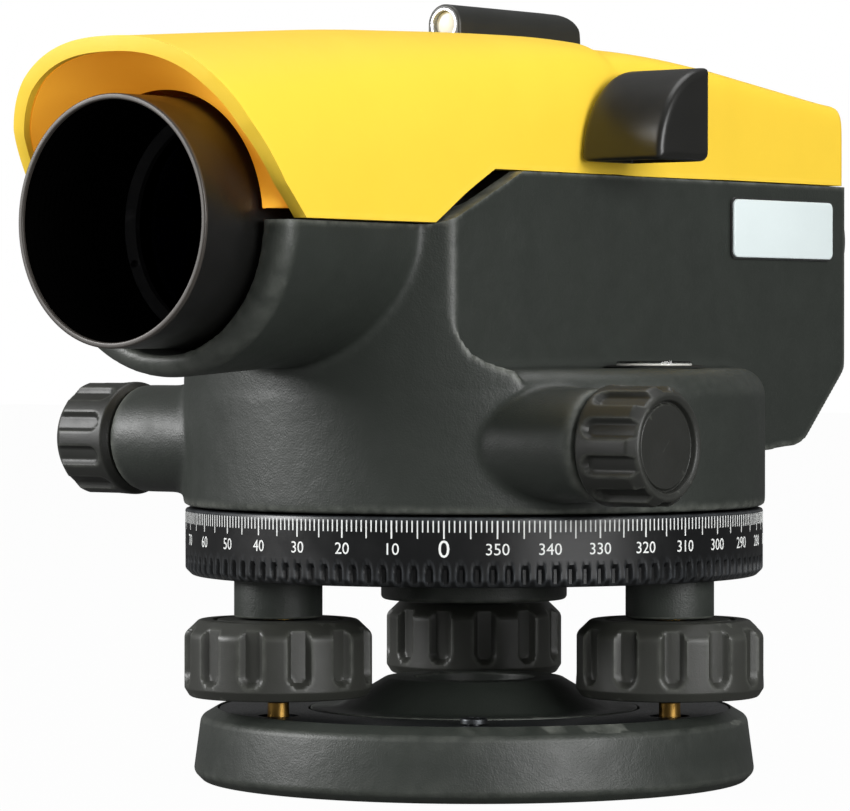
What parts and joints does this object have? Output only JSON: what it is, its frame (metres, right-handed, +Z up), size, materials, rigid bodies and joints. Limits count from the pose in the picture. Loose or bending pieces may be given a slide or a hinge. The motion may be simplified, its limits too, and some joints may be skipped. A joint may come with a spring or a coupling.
{
  "type": "automatic level",
  "caption": "Surveyor's automatic level: hooded telescope on a round drum with a graduated circle, side drive knobs and a levelling base on foot screws.",
  "frame": {"origin": "centre of the base plate's underside, on the vertical axis", "axes": "+Z up along the vertical axis, +Y towards the eyepiece and -Y towards the objective, along the line of sight"},
  "size_m": [0.133, 0.195, 0.14],
  "materials": {
    "yellow_enamel": "satin enamel",
    "dark_housing_paint": "fine textured matt paint",
    "satin_black_ring": "satin black anodised with white graduation",
    "knob_plastic": "fine matt moulding",
    "gloss_black_plastic": "polished",
    "brass": "turned",
    "bright_steel": "ground",
    "mirror": "front silvered",
    "plain_alloy": "as cast",
    "matt_black_metal": "matt black anodised",
    "black_rubber": "moulded",
    "optical_glass": "polished and coated",
    "pale_label": "smooth, blank",
    "damper_magnet": "ground"
  },
  "bodies": {
    "base": {"base_plate": "dark_housing_paint", "spring_plate": "bright_steel", "spring_plate_screw_1": "bright_steel", "spring_plate_screw_2": "bright_steel", "spring_plate_screw_3": "bright_steel"},
    "head": {"levelling_head": "dark_housing_paint", "axis_bush": "brass", "clutch_washer": "bright_steel", "clutch_ring": "bright_steel"},
    "foot_1": {"foot_screw_1": "brass", "foot_knob_1": "knob_plastic"},
    "foot_2": {"foot_screw_2": "brass", "foot_knob_2": "knob_plastic"},
    "foot_3": {"foot_screw_3": "brass", "foot_knob_3": "knob_plastic"},
    "circle": {"horizontal_circle": "satin_black_ring"},
    "wheel": {"drive_wheel": "brass"},
    "drive": {"drive_shaft": "bright_steel", "drive_knob_left": "knob_plastic", "drive_knob_right": "knob_plastic"},
    "focus": {"focus_shaft": "bright_steel", "focus_knob": "knob_plastic"},
    "carriage": {"focus_carriage": "brass", "focus_rack": "brass", "focus_lens": "optical_glass"},
    "pendulum": {"pendulum": "plain_alloy", "pendulum_prism": "optical_glass"},
    "eyepiece": {"eyepiece_ring": "knob_plastic", "eyecup": "black_rubber", "eye_lens": "optical_glass"},
    "telescope": {"compensator_frame": "plain_alloy", "damper_magnet": "damper_magnet", "drive_bush_left": "matt_black_metal", "drive_bush_right": "matt_black_metal", "dust_tube": "dark_housing_paint", "eyepiece_mount": "matt_black_metal", "focus_bush": "brass", "label_plate": "pale_label", "lens_retaining_ring": "matt_black_metal", "level_bezel": "matt_black_metal", "level_mirror": "mirror", "level_vial": "optical_glass", "level_window": "optical_glass", "lower_housing": "dark_housing_paint", "objective_lens_front": "optical_glass", "objective_lens_rear": "optical_glass", "prism_housing": "gloss_black_plastic", "reticle_glass": "optical_glass", "reticle_mount": "brass", "roof_prism": "optical_glass", "sight_lens_front": "optical_glass", "sight_lens_rear": "optical_glass", "sight_tube": "gloss_black_plastic", "spindle": "bright_steel", "spindle_nut": "bright_steel", "suspension_tape_left": "bright_steel", "suspension_tape_right": "bright_steel", "telescope_tube": "matt_black_metal", "top_cover": "yellow_enamel"}
  },
  "joints": [
    {"name": "levelling_tilt", "type": "hinge", "parent": "base", "child": "head", "pos_m": [0.03967, 0.00586, 0.0075], "axis": [-0.9298, 0.3681, 0], "range_deg": [-2, 2]},
    {"name": "foot_screw_1_turn", "type": "hinge", "parent": "head", "child": "foot_1", "pos_m": [0.03967, 0.00586, 0.02], "axis": [0, 0, 1], "range_deg": [-760, 760]},
    {"name": "foot_screw_2_turn", "type": "hinge", "parent": "head", "child": "foot_2", "pos_m": [-0.02491, 0.03143, 0.02], "axis": [0, 0, 1], "range_deg": [-760, 760]},
    {"name": "foot_screw_3_turn", "type": "hinge", "parent": "head", "child": "foot_3", "pos_m": [-0.01476, -0.03728, 0.02], "axis": [0, 0, 1], "range_deg": [-760, 760]},
    {"name": "circle_turn", "type": "hinge", "parent": "head", "child": "circle", "pos_m": [0, 0, 0.043], "axis": [0, 0, 1], "continuous": true},
    {"name": "wheel_slip", "type": "hinge", "parent": "head", "child": "wheel", "pos_m": [0, 0, 0.0615], "axis": [0, 0, 1], "continuous": true},
    {"name": "telescope_turn", "type": "hinge", "parent": "wheel", "child": "telescope", "pos_m": [0, 0, 0.0615], "axis": [0, 0, 1], "continuous": true},
    {"name": "drive_turn", "type": "hinge", "parent": "telescope", "child": "drive", "pos_m": [0, -0.031, 0.0615], "axis": [1, 0, 0], "continuous": true},
    {"name": "focus_turn", "type": "hinge", "parent": "telescope", "child": "focus", "pos_m": [-0.04, 0.014, 0.097], "axis": [1, 0, 0], "range_deg": [-143, 143]},
    {"name": "focus_travel", "type": "slide", "parent": "telescope", "child": "carriage", "axis": [0, 1, 0], "range_m": [-0.008, 0.008]},
    {"name": "compensator_swing", "type": "hinge", "parent": "telescope", "child": "pendulum", "pos_m": [0, 0.037, 0.114], "axis": [1, 0, 0], "range_deg": [-0.5, 0.5]},
    {"name": "dioptre_turn", "type": "hinge", "parent": "telescope", "child": "eyepiece", "pos_m": [0, 0.085, 0.099], "axis": [0, 1, 0], "range_deg": [-150, 150]}
  ],
  "couplings": [
    {"joint": "foot_screw_3_turn", "follows": "levelling_tilt", "ratio": -377.93},
    {"joint": "drive_turn", "follows": "telescope_turn", "ratio": 52},
    {"joint": "focus_travel", "follows": "focus_turn", "m_per_rad": 0.0032}
  ]
}
